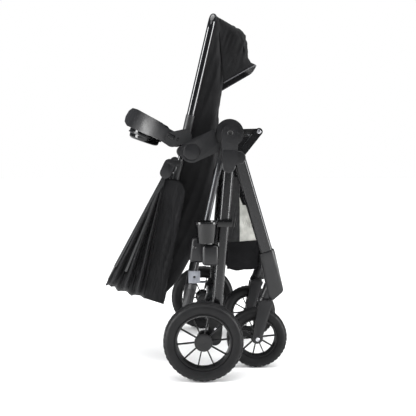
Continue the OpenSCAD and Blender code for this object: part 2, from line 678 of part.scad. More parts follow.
// ---------------------------------------------------------------- canopy
bow_gap = 6.2;
bow_first = 260;
function bow_angle(i) = bow_first - i * bow_gap;
function from_pin(r, a) = canopy_pin + [r * cos(a), 0, r * sin(a)];
bow_corner = 60;
module bow(i) color("#1a1a1c") {
    a = bow_angle(i);
    reach = canopy_reach - 2;
    for (s = [0, 1]) mirror([0, s, 0]) {
        difference() {
            right_slab(bow_y(i) + bow_t, bow_y(i)) bar2d(canopy_pin, from_pin(reach - bow_corner, a), 4);
            disc(canopy_pin, 5 + run_fit, -300, 300);
        }
        difference() {
            right_slab(bow_y(i) + bow_t, bow_y(i)) spot(canopy_pin, 14);
            disc(canopy_pin, 5 + run_fit, -300, 300);
        }
        rod(from_pin(reach - bow_corner, a) - [0, bow_y(i) + bow_t / 2, 0],
            from_pin(reach, a) - [0, bow_y(i) - bow_corner, 0], 4);
        rod(from_pin(reach, a) - [0, bow_y(i) - bow_corner, 0], from_pin(reach, a) + [0, 0.005, 0], 4);
        knuckle(from_pin(reach, a) - [0, bow_y(i) - bow_corner, 0], 4);
    }
}
module canopy_bow_1() bow(1);
module canopy_bow_2() bow(2);
module canopy_bow_3() bow(3);

// Fabric between two neighbouring bows, as a thin-walled wedge
module panel(i) color(cloth) {
    a0 = bow_angle(i) + 0.75;
    a1 = bow_angle(i - 1) - 0.75;
    y_out = bow_y1 - 0.5;
    difference() {
        slab(-y_out, y_out) polygon([for (p = [from_pin(44, a0), from_pin(canopy_reach, a0),
            from_pin(canopy_reach, a1), from_pin(44, a1)]) [p[0], p[2]]]);
        slab(-y_out + 3, y_out - 3) polygon([for (p = [from_pin(0, a0 - 3),
            from_pin(canopy_reach - 5, a0 - 3), from_pin(canopy_reach - 5, a1 + 3),
            from_pin(0, a1 + 3)]) [p[0], p[2]]]);
    }
}
// Cloth behind the first bow, outside the seat rails
module canopy_panel_1() panel(1);
module canopy_panel_2() panel(2);
module canopy_panel_3() panel(3);

rear_leg_right();
rear_leg_left();
hub_housing_right();
hub_housing_left();
rear_axle_beam();
wheel_housing_right();
wheel_housing_left();
cup_holder();
fold_catch();
storage_basket();
frame_screws();
rear_tyre_right();
rear_rim_right();
rear_tyre_left();
rear_rim_left();
brake_pedal();
fold_hub_right();
fold_hub_left();
seat_mount_right();
seat_mount_left();
handle_arm_right();
handle_arm_left();
handle_sleeves();
seat_release_right();
seat_release_left();
height_button_right();
height_button_left();
handle_bar();
handle_grip();
lock_brackets();
fold_trigger();
front_leg_right();
front_leg_left();
front_housing_right();
front_housing_left();
front_brace();
drive_link_right();
drive_link_left();
castor_fork_right();
castor_fork_left();
front_tyre_right();
front_rim_right();
front_tyre_left();
front_rim_left();
seat_frame();
rail_sleeves();
canopy_mounts();
seat_sling();
seat_pad();
foot_pocket();
harness();
harness_buckle();
buckle_button();
tray();
canopy_bow_1();
canopy_bow_2();
canopy_bow_3();
canopy_panel_1();
canopy_panel_2();
canopy_panel_3();
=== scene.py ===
"""Looks of a folding pushchair: materials, fabric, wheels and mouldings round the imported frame.

Metres, +Z up, +X the way the chair travels, the right-hand side is -Y.
"""

import json
import math
import random

import bmesh
import bpy
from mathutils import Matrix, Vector

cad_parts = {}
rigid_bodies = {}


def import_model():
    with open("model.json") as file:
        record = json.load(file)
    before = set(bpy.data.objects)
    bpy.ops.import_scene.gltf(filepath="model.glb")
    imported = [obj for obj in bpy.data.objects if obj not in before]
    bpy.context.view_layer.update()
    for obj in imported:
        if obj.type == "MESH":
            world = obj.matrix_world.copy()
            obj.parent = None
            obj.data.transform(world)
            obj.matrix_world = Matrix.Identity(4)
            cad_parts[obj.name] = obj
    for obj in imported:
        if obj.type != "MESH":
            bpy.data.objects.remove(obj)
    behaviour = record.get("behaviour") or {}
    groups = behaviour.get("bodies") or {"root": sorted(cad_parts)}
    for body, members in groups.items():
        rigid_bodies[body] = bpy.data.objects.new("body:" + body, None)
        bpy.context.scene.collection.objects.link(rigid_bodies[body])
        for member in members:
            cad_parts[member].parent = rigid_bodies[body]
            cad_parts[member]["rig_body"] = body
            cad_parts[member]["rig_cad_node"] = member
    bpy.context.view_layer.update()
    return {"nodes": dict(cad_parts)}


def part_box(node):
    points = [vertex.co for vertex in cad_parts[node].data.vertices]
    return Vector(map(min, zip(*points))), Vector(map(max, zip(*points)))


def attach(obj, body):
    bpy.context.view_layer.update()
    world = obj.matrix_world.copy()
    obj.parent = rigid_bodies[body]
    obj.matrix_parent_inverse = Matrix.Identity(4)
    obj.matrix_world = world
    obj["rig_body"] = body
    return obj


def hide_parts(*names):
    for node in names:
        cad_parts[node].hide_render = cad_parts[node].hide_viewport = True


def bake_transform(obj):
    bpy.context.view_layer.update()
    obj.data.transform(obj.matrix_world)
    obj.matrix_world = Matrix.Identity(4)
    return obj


bl_info = {
    "name": "Folding Pushchair Looks",
    "version": (1, 0, 0),
    "blender": (4, 5, 0),
    "location": "3D View > Sidebar > Pushchair",
    "description": "Builds the fabric, wheels and moulded parts of a folding pushchair",
    "category": "Object",
}

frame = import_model()
SIDES = {"right": -1, "left": 1}

# Hubs of the wheels, from the imported parts, and pins of the frame as given points
REAR_WHEEL = [sum(c) / 2 for c in zip(*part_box("rear_tyre_right"))]
FRONT_WHEEL = [sum(c) / 2 for c in zip(*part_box("front_tyre_right"))]
FOLD_PIN, LEG_PIN = (0.096, 0.731), (0.123, 0.659)
LEVER_TIP, LINK_END = (0.184, 0.736), (0.1253, 0.7364)
RECLINE_PIN = (-0.016, 0.677)
CANOPY_PIN = Vector((-0.095, 0, 0.613))
TRAY_PIN, TRAY_TILT = Vector((-0.075, 0, 0.714)), math.radians(27)
SEAT_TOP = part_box("seat_frame")[1].z
RAIL_LEAN = math.radians(13.2)
RAIL_TOP = Vector((0.050, 0, SEAT_TOP - 0.012))
SLING_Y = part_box("seat_pad")[1].y + 0.010

# Outline of the seat's shell from the foot end down to the head end: x and z in metres
SHELL = [
    (0.064, 1.078), (0.074, 1.040), (0.080, 0.960), (0.078, 0.872), (0.066, 0.797),
    (0.068, 0.720), (0.064, 0.640), (0.050, 0.540), (0.022, 0.430), (-0.020, 0.345),
    (-0.062, 0.270), (-0.108, 0.222),
]


def rail_x(z):
    """Where the middle of the seat rail is at height z."""
    return RAIL_TOP.x - (RAIL_TOP.z - z) * math.tan(RAIL_LEAN)


# ---------------------------------------------------------------- properties
class PushchairSizes(bpy.types.PropertyGroup):
    mould_edge: bpy.props.FloatProperty(
        name="Moulded edge", description="Radius of the edges of moulded parts",
        default=0.0025, min=0.0005, max=0.006, unit="LENGTH")
    cloth: bpy.props.FloatProperty(
        name="Cloth", description="Thickness of the seat and canopy cloth",
        default=0.0016, min=0.0008, max=0.004, unit="LENGTH")
    tread: bpy.props.FloatProperty(
        name="Tread", description="Height of the tyre's tread blocks",
        default=0.0012, min=0.0, max=0.003, unit="LENGTH")
    pleat: bpy.props.FloatProperty(
        name="Pleat", description="How far the canopy's pleats stand out between its bows",
        default=0.012, min=0.0, max=0.02, unit="LENGTH")
    pad_swell: bpy.props.FloatProperty(
        name="Pad swell", description="Furthest that the seat pad swells",
        default=0.007, min=0.0, max=0.016, unit="LENGTH")


class PushchairColours(bpy.types.PropertyGroup):
    plastic: bpy.props.FloatVectorProperty(
        name="Plastic", description="Moulded plastic", subtype="COLOR",
        default=(0.0070, 0.0070, 0.0078), min=0, max=1)
    dark_metal: bpy.props.FloatVectorProperty(
        name="Frame metal", description="Painted legs", subtype="COLOR",
        default=(0.0055, 0.0055, 0.0062), min=0, max=1)
    silver: bpy.props.FloatVectorProperty(
        name="Handle metal", description="Side tubes of the handle", subtype="COLOR",
        default=(0.050, 0.051, 0.054), min=0, max=1)
    rail: bpy.props.FloatVectorProperty(
        name="Rail metal", description="Glossy seat rail", subtype="COLOR",
        default=(0.006, 0.006, 0.007), min=0, max=1)
    rubber: bpy.props.FloatVectorProperty(
        name="Rubber", description="Tyres", subtype="COLOR",
        default=(0.006, 0.006, 0.0065), min=0, max=1)
    cloth: bpy.props.FloatVectorProperty(
        name="Cloth", description="Seat and canopy cloth", subtype="COLOR",
        default=(0.0026, 0.0026, 0.0031), min=0, max=1)
    lining: bpy.props.FloatVectorProperty(
        name="Lining", description="Seat pad", subtype="COLOR",
        default=(0.008, 0.008, 0.009), min=0, max=1)
    pale_net: bpy.props.FloatVectorProperty(
        name="Pale net", description="Basket windows", subtype="COLOR",
        default=(0.42, 0.42, 0.39), min=0, max=1)


def sizes():
    return bpy.context.scene.pushchair_sizes


def colours():
    return bpy.context.scene.pushchair_colours


# ---------------------------------------------------------------- materials
class Finish:
    """A material's node tree, built one node at a time."""

    def __init__(self, name):
        self.material = bpy.data.materials.new(name)
        self.material.use_nodes = True
        self.tree = self.material.node_tree
        self.shader = self.tree.nodes["Principled BSDF"]
        self.place = self.tree.nodes.new("ShaderNodeTexCoord").outputs["Object"]

    def node(self, kind, **values):
        made = self.tree.nodes.new(kind)
        for key, value in values.items():
            if key in made.inputs:
                made.inputs[key].default_value = value
            else:
                setattr(made, key, value)
        return made

    def link(self, a, b):
        self.tree.links.new(a, b)

    def noise(self, scale, detail=3.0, stretch=(1, 1, 1)):
        mapping = self.node("ShaderNodeMapping")
        mapping.inputs["Scale"].default_value = stretch
        noise = self.node("ShaderNodeTexNoise", Scale=scale, Detail=detail)
        self.link(self.place, mapping.inputs["Vector"])
        self.link(mapping.outputs["Vector"], noise.inputs["Vector"])
        return noise.outputs["Fac"]

    def bands(self, scale, direction):
        wave = self.node("ShaderNodeTexWave", Scale=scale, Distortion=0.4)
        wave.bands_direction = direction
        self.link(self.place, wave.inputs["Vector"])
        return wave.outputs["Fac"]

    def math(self, operation, a, b):
        made = self.node("ShaderNodeMath")
        made.operation = operation
        for socket, value in zip(made.inputs, (a, b)):
            if isinstance(value, (int, float)):
                socket.default_value = value
            else:
                self.link(value, socket)
        return made.outputs[0]

    def ramp(self, factor, low, high, socket, start=0.35, end=0.65):
        ramp = self.node("ShaderNodeValToRGB")
        stops = zip(ramp.color_ramp.elements, (start, end), (low, high))
        for element, position, colour in stops:
            element.position, element.color = position, (*colour, 1)
        self.link(factor, ramp.inputs["Fac"])
        self.link(ramp.outputs["Color"], self.shader.inputs[socket])

    def rough(self, factor, low, high):
        self.ramp(factor, (low,) * 3, (high,) * 3, "Roughness")

    def bump(self, height, strength, distance):
        bump = self.node("ShaderNodeBump", Strength=strength, Distance=distance)
        self.link(height, bump.inputs["Height"])
        self.link(bump.outputs["Normal"], self.shader.inputs["Normal"])

    def set(self, **values):
        for key, value in values.items():
            self.shader.inputs[key.replace("_", " ")].default_value = value


def shade(colour, factor):
    return tuple(min(1.0, c * factor) for c in colour)


def moulded_plastic(name, colour, rough, grain=0.25):
    """Fine-grained moulded plastic with rubbed patches."""
    f = Finish(name)
    f.ramp(f.noise(18), shade(colour, 0.86), shade(colour, 1.14), "Base Color")
    f.rough(f.noise(30, 4), rough - 0.06, rough + 0.06)
    f.bump(f.noise(1500, 2), grain, 0.0003)
    f.set(Specular_IOR_Level=0.38)
    return f.material


def painted_metal(name, colour, rough, metallic, coat):
    """Powder-coated or lacquered tube, with a slight orange-peel surface."""
    f = Finish(name)
    f.ramp(f.noise(12), shade(colour, 0.9), shade(colour, 1.12), "Base Color")
    f.rough(f.noise(40, 4), rough - 0.03, rough + 0.05)
    f.bump(f.noise(160, 2), 0.02, 0.0002)
    f.set(Metallic=metallic, Coat_Weight=coat, Coat_Roughness=0.08)
    return f.material


def brushed_metal(name, colour, rough):
    f = Finish(name)
    lines = f.noise(600, 3, (1, 1, 0.03))
    f.ramp(lines, shade(colour, 0.85), shade(colour, 1.1), "Base Color")
    f.rough(lines, rough - 0.08, rough + 0.08)
    f.bump(lines, 0.08, 0.0002)
    f.set(Metallic=1.0)
    return f.material


def tyre_rubber():
    f = Finish("tyre_rubber")
    colour = colours().rubber
    f.ramp(f.noise(25, 5), shade(colour, 0.8), shade(colour, 1.25), "Base Color")
    f.rough(f.noise(60, 4), 0.42, 0.6)
    f.bump(f.noise(900, 2), 0.2, 0.0004)
    f.set(Specular_IOR_Level=0.2)
    return f.material


def woven_cloth(name, colour, rough=0.68, sheen=0.05, thread=520.0):
    """Plain-weave polyester: crossed threads, slight colour change and a soft sheen."""
    f = Finish(name)
    weave = f.math("MULTIPLY", f.bands(thread, "X"), f.bands(thread, "Z"))
    weave = f.math("ADD", weave, f.math("MULTIPLY", f.bands(thread, "Y"), 0.5))
    both = f.math("ADD", f.math("MULTIPLY", weave, 0.5), f.noise(14, 5))
    f.ramp(both, shade(colour, 0.7), shade(colour, 1.45), "Base Color", 0.35, 1.1)
    f.rough(f.noise(22, 4), rough - 0.08, rough + 0.08)
    f.bump(f.math("ADD", f.math("MULTIPLY", weave, 0.4), f.noise(70, 4)), 0.3, 0.0010)
    f.set(Sheen_Weight=sheen, Sheen_Roughness=0.4, Specular_IOR_Level=0.16)
    return f.material


def open_net(name, colour, hole, cell, tint=0.0):
    """Net cloth: round holes in rows, seen through."""
    f = Finish(name)
    cells = f.node("ShaderNodeTexVoronoi", Scale=cell, Randomness=0.12)
    f.link(f.place, cells.inputs["Vector"])
    thread = f.math("GREATER_THAN", cells.outputs["Distance"], hole)
    alpha = f.math("MAXIMUM", thread, tint)
    f.link(alpha, f.shader.inputs["Alpha"])
    f.ramp(f.noise(30, 4), shade(colour, 0.75), shade(colour, 1.25), "Base Color")
    f.rough(f.noise(80, 3), 0.6, 0.8)
    f.bump(cells.outputs["Distance"], 0.3, 0.0006)
    return f.material


def leather_foam():
    f = Finish("grip_leather")
    cells = f.node("ShaderNodeTexVoronoi", Scale=420.0)
    f.link(f.place, cells.inputs["Vector"])
    f.ramp(f.noise(20, 4), (0.010, 0.010, 0.011), (0.020, 0.020, 0.022), "Base Color")
    f.rough(f.noise(50, 3), 0.45, 0.6)
    f.bump(cells.outputs["Distance"], 0.35, 0.0006)
    return f.material


def webbing():
    f = Finish("strap_webbing")
    ribs = f.bands(900.0, "Z")
    f.ramp(ribs, (0.010, 0.010, 0.011), (0.030, 0.030, 0.033), "Base Color", 0.2, 0.8)
    f.bump(ribs, 0.5, 0.0004)
    f.rough(f.noise(40, 3), 0.6, 0.75)
    return f.material


finishes = {}


def make_finishes():
    c = colours()
    finishes.update(
        plastic=moulded_plastic("moulded_plastic", c.plastic, 0.36),
        # Dark plastic for the wheel housings, pedal, buckle, link bars and rims; also the painted
        # shade of the hubs' pin holes.
        soft_black=moulded_plastic("dark_moulding_and_painted_shade", shade(c.plastic, 0.5), 0.42),
        button=moulded_plastic("button_plastic", shade(c.plastic, 2.2), 0.38),
        # Shiny black plastic for the cup, the pot and the tray's key rims; also painted shade for
        # the collars' holes and the tray's slot.
        gloss=moulded_plastic("gloss_plastic", shade(c.plastic, 0.4), 0.14, 0.03),
        frame=painted_metal("leg_paint", c.dark_metal, 0.27, 0.55, 0.3),
        arm=painted_metal("silver_paint", c.silver, 0.36, 0.9, 0.2),
        sleeve=painted_metal("grey_sleeve", shade(c.silver, 0.3), 0.42, 0.3, 0.0),
        rail=painted_metal("rail_lacquer", c.rail, 0.13, 0.5, 0.9),
        tyre=tyre_rubber(),
        cloth=woven_cloth("seat_cloth", c.cloth),
        canopy=woven_cloth("canopy_cloth", shade(c.cloth, 1.1), 0.58, 0.05),
        lining=woven_cloth("pad_cloth", c.lining, 0.85, 0.3, 380.0),
        trim=woven_cloth("trim_tape", (0.060, 0.060, 0.064), 0.7, 0.1, 700.0),
        band=woven_cloth("basket_cloth", shade(c.cloth, 1.3), 0.8, 0.1),
        net=open_net("black_net", shade(c.cloth, 1.6), 0.34, 330.0, 0.35),
        pale_net=open_net("pale_net", c.pale_net, 0.30, 420.0, 0.55),
        foam=leather_foam(),
        web=webbing(),
        bright=brushed_metal("bright_plate", (0.30, 0.31, 0.34), 0.45),
        screw=brushed_metal("screw_steel", (0.45, 0.45, 0.47), 0.3),
    )


def paint(piece, finish):
    piece.data.materials.clear()
    piece.data.materials.append(finishes[finish])
    return piece


# ---------------------------------------------------------------- making pieces
def only(piece):
    """Select this piece and nothing else, in object mode."""
    if bpy.context.object and bpy.context.object.mode != "OBJECT":
        bpy.ops.object.mode_set(mode="OBJECT")
    bpy.ops.object.select_all(action="DESELECT")
    piece.select_set(True)
    bpy.context.view_layer.objects.active = piece


def new_piece(name):
    piece = bpy.context.object
    piece.name = piece.data.name = name
    return piece


def placed(piece):
    """Put the piece's place into its mesh."""
    only(piece)
    bpy.ops.object.transform_apply(location=True, rotation=True, scale=True)
    return piece


def smooth(piece, angle=32):
    only(piece)
    bpy.ops.object.shade_smooth_by_angle(angle=math.radians(angle))
    return piece


def modified(piece, kind, **values):
    only(piece)
    modifier = piece.modifiers.new(kind.title(), kind)
    for key, value in values.items():
        setattr(modifier, key, value)
    bpy.ops.object.modifier_apply(modifier=modifier.name)
    return piece


def closed_right_way(piece):
    only(piece)
    bpy.ops.object.mode_set(mode="EDIT")
    bpy.ops.mesh.select_all(action="SELECT")
    bpy.ops.mesh.remove_doubles(threshold=0.00002)
    bpy.ops.mesh.normals_make_consistent(inside=False)
    bpy.ops.object.mode_set(mode="OBJECT")
    return piece


def turned(name, profile, centre, steps=72):
    """A shape turned round an axis along Y from (radius, y) points, relative to its centre."""
    bpy.ops.object.select_all(action="DESELECT")
    bpy.ops.mesh.primitive_plane_add(size=0.01, location=centre)
    piece = new_piece(name)
    bpy.ops.object.mode_set(mode="EDIT")
    bpy.ops.mesh.select_all(action="SELECT")
    bpy.ops.mesh.merge(type="CENTER")
    radius, y = profile[0]
    bpy.ops.transform.translate(value=(0, y, radius))
    for next_radius, next_y in profile[1:]:
        bpy.ops.mesh.extrude_region_move(
            TRANSFORM_OT_translate={"value": (0, next_y - y, next_radius - radius)})
        radius, y = next_radius, next_y
    bpy.ops.mesh.select_all(action="SELECT")
    bpy.ops.mesh.spin(steps=steps, angle=math.tau, center=centre, axis=(0, 1, 0))
    bpy.ops.object.mode_set(mode="OBJECT")
    placed(piece)
    return smooth(closed_right_way(piece))


def bent(points, radius, steps=8):
    """The points with each corner between them rounded."""
    path = [points[0].copy()]
    for before, corner, after in zip(points, points[1:], points[2:]):
        reach = min(radius, (before - corner).length * 0.48, (after - corner).length * 0.48)
        start = corner + (before - corner).normalized() * reach
        end = corner + (after - corner).normalized() * reach
        for i in range(steps + 1):
            t = i / steps
            path.append(start.lerp(corner, t).lerp(corner.lerp(end, t), t))
    path.append(points[-1].copy())
    return path


def tube(name, points, radius, finish, bend=0.05, middle=1.0):
    """A closed tube along the points, bent smoothly; middle slims it near the middle plane."""
    bpy.ops.object.select_all(action="DESELECT")
    bpy.ops.curve.primitive_bezier_curve_add()
    curve = bpy.context.object.data
    curve.dimensions = "3D"
    curve.splines.clear()
    path = bent(points, bend)
    line = curve.splines.new("POLY")
    line.points.add(len(path) - 1)
    for knot, point in zip(line.points, path):
        knot.co = (*point, 1)
        knot.radius = middle + (1 - middle) * min(1.0, max(0.0, (abs(point.y) - 0.12) / 0.05))
    curve.bevel_depth, curve.bevel_resolution, curve.use_fill_caps = radius, 8, True
    bpy.ops.object.convert(target="MESH")
    piece = new_piece(name)
    placed(piece)
    return paint(smooth(closed_right_way(piece), 40), finish)


def capsule(a, b, radius_a, radius_b, steps=20):
    """Outline round two circles: (x, z) points."""
    angle, length = math.atan2(b[1] - a[1], b[0] - a[0]), math.dist(a, b)
    lean = math.acos((radius_a - radius_b) / length)
    points = []
    for centre, radius, start, end in ((a, radius_a, angle + lean, angle + math.tau - lean),
                                       (b, radius_b, angle - lean, angle + lean)):
        for i in range(steps + 1):
            t = start + (end - start) * i / steps
            points.append((centre[0] + radius * math.cos(t), centre[1] + radius * math.sin(t)))
    return points


def moulded(name, outline, y_out, y_in, edge, finish):
    """A moulding from y_out to y_in with an outline of (x, z) points and rounded rims."""
    bpy.ops.object.select_all(action="DESELECT")
    bpy.ops.mesh.primitive_circle_add(vertices=len(outline), radius=0.1, fill_type="NGON")
    piece = new_piece(name)
    for vertex, (x, z) in zip(piece.data.vertices, outline):
        vertex.co = (x, y_out, z)
    bpy.ops.object.mode_set(mode="EDIT")
    bpy.ops.mesh.select_all(action="SELECT")
    bpy.ops.mesh.extrude_region_move(TRANSFORM_OT_translate={"value": (0, y_in - y_out, 0)})
    bpy.ops.object.mode_set(mode="OBJECT")
    closed_right_way(piece)
    modified(piece, "BEVEL", width=edge, segments=5, limit_method="ANGLE",
             angle_limit=math.radians(50), use_clamp_overlap=True)
    return paint(smooth(piece, 40), finish)


def stands_for(piece, *nodes):
    """Let the piece take the place of CAD nodes and ride where the first one does."""
    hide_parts(*nodes)
    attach(piece, frame["nodes"][nodes[0]]["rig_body"])
    return piece


def both_sides(build, start):
    """Build a right-hand piece for a node, and its mirror image for the left."""
    right = build(f"{start}_right_shell")
    left = mirrored(right, f"{start}_left_shell")
    stands_for(right, f"{start}_right")
    stands_for(left, f"{start}_left")


def block(name, centre, size, edge=0.001, turn=0.0, axis="Y"):
    """A box with rounded edges, turned about one axis through its centre."""
    bpy.ops.object.select_all(action="DESELECT")
    bpy.ops.mesh.primitive_cube_add(size=1, location=centre)
    piece = new_piece(name)
    piece.scale = size
    piece.rotation_euler["XYZ".index(axis)] = turn
    placed(piece)
    modified(piece, "BEVEL", width=edge, segments=3, limit_method="ANGLE")
    return smooth(piece)


def joined(name, pieces):
    only(pieces[0])
    for piece in pieces[1:]:
        piece.select_set(True)
    bpy.ops.object.join()
    return new_piece(name)


def copied(piece, name):
    """The same piece again with its own mesh."""
    again = piece.copy()
    again.data = piece.data.copy()
    again.name = again.data.name = name
    bpy.context.scene.collection.objects.link(again)
    return again


def mirrored(piece, name):
    """The piece again on the other side of the chair."""
    again = copied(piece, name)
    again.scale.y = -1
    placed(again)
    return smooth(closed_right_way(again))


def lifted(node, name):
    """A free copy of a CAD node's shape."""
    piece = copied(frame["nodes"][node], name)
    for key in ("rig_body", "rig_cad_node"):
        del piece[key]
    piece.parent = None
    return piece


def of_node(node, name, finish, edge, angle=38):
    """A CAD node's shape again with its edges rounded, standing for the node."""
    piece = lifted(node, name)
    only(piece)
    bpy.ops.object.mode_set(mode="EDIT")
    bpy.ops.mesh.select_all(action="SELECT")
    bpy.ops.mesh.remove_doubles(threshold=0.00001)
    bpy.ops.mesh.dissolve_limited(angle_limit=math.radians(1.0))
    bpy.ops.object.mode_set(mode="OBJECT")
    modified(piece, "BEVEL", width=edge, segments=3, limit_method="ANGLE",
             angle_limit=math.radians(angle), use_clamp_overlap=True, miter_outer="MITER_ARC")
    smooth(piece)
    paint(piece, finish)
    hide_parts(node)
    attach(piece, frame["nodes"][node]["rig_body"])
    return piece


def cloth_grid(name, columns, rows, place, thickness=None, finish="cloth"):
    """A cloth surface: place(u, v) gives each point, u across and v along, both from 0 to 1."""
    bpy.ops.object.select_all(action="DESELECT")
    bpy.ops.mesh.primitive_grid_add(x_subdivisions=columns, y_subdivisions=rows, size=1)
    piece = new_piece(name)
    for vertex in piece.data.vertices:
        vertex.co = place(vertex.co.x + 0.5, vertex.co.y + 0.5)
    piece.data.update()
    thickness = thickness or sizes().cloth
    modified(piece, "SOLIDIFY", thickness=thickness, offset=0)
    bpy.ops.object.shade_smooth()
    return paint(piece, finish)


def along_path(points, t):
    """The point at share t of the way along a line of points."""
    lengths = [(b - a).length for a, b in zip(points, points[1:])]
    goal = t * sum(lengths)
    for a, b, length in zip(points, points[1:], lengths):
        if goal <= length or b is points[-1]:
            return a.lerp(b, min(1.0, goal / max(length, 1e-9)))
        goal -= length
    return points[-1].copy()


def trough_line(start, end, half, bend, steps, flare=0.0):
    """Down one side, across and up the other side of a trough: (depth, y) points."""
    line = [Vector((start, -half - flare)), Vector((end - bend, -half))]
    for i in range(1, steps):
        a = math.pi / 2 * i / steps
        line.append(Vector((end - bend + bend * math.sin(a), -half + bend * (1 - math.cos(a)))))
    line.append(Vector((end, -half + bend)))
    return line + [Vector((p.x, -p.y)) for p in reversed(line)]


def ripple(seed, size):
    """A smooth pattern of soft folds that is the same each time."""
    rng = random.Random(seed)
    waves = [(rng.uniform(2, 9), rng.uniform(2, 9), rng.uniform(0, math.tau)) for _ in range(5)]

    def height(u, v):
        return size * sum(math.sin(a * u + b * v + c) for a, b, c in waves) / 5

    return height


# ---------------------------------------------------------------- operators
class PUSHCHAIR_OT_stage(bpy.types.Operator):
    """Set the camera, the pale floor and soft studio light"""

    bl_idname = "pushchair.stage"
    bl_label = "Stage"

    def execute(self, context):
        camera = bpy.data.objects.new("camera", bpy.data.cameras.new("camera"))
        context.scene.collection.objects.link(camera)
        camera.location = (0.008, -2.244, 0.6916)
        camera.rotation_euler = (math.radians(90 - 5.19), 0, math.radians(-0.69))
        camera.data.lens = 58.5
        camera.data.sensor_width = 36
        context.scene.camera = camera

        bpy.ops.object.select_all(action="DESELECT")
        bpy.ops.mesh.primitive_plane_add(size=24)
        floor = new_piece("floor")
        f = Finish("floor_white")
        f.ramp(f.noise(0.4), (0.93,) * 3, (0.95,) * 3, "Base Color")
        f.set(Roughness=0.9, Specular_IOR_Level=0.0)
        floor.data.materials.append(f.material)

        world = bpy.data.worlds.new("studio")
        context.scene.world = world
        world.use_nodes = True
        tree = world.node_tree
        seen, around = tree.nodes["Background"], tree.nodes.new("ShaderNodeBackground")
        seen.inputs["Color"].default_value = (1, 1, 1, 1)
        around.inputs["Color"].default_value = (0.9, 0.95, 1, 1)
        around.inputs["Strength"].default_value = 0.17
        mix, path = tree.nodes.new("ShaderNodeMixShader"), tree.nodes.new("ShaderNodeLightPath")
        tree.links.new(path.outputs["Is Camera Ray"], mix.inputs["Fac"])
        tree.links.new(around.outputs["Background"], mix.inputs[1])
        tree.links.new(seen.outputs["Background"], mix.inputs[2])
        tree.links.new(mix.outputs["Shader"], tree.nodes["World Output"].inputs["Surface"])
        above = bpy.data.objects.new("above", bpy.data.lights.new("above", "SUN"))
        context.scene.collection.objects.link(above)
        above.data.energy, above.data.angle = 3.1, math.radians(70)
        for name, place, wide, tall, power in (
            ("left", (-2.3, -1.1, 1.1), 0.8, 2.4, 120),
            ("right", (2.4, -0.8, 1.0), 0.7, 2.4, 105),
            ("front", (-0.3, -2.2, 3.0), 1.8, 0.8, 12),
        ):
            light = bpy.data.objects.new(name, bpy.data.lights.new(name, "AREA"))
            context.scene.collection.objects.link(light)
            light.location = place
            light.data.shape = "RECTANGLE"
            light.data.size, light.data.size_y = wide, tall
            light.data.energy = power
            aim = Vector((0, 0, 0.6)) - light.location
            light.rotation_euler = aim.to_track_quat("-Z", "Y").to_euler()
        context.scene.view_settings.view_transform = "Standard"
        return {"FINISHED"}


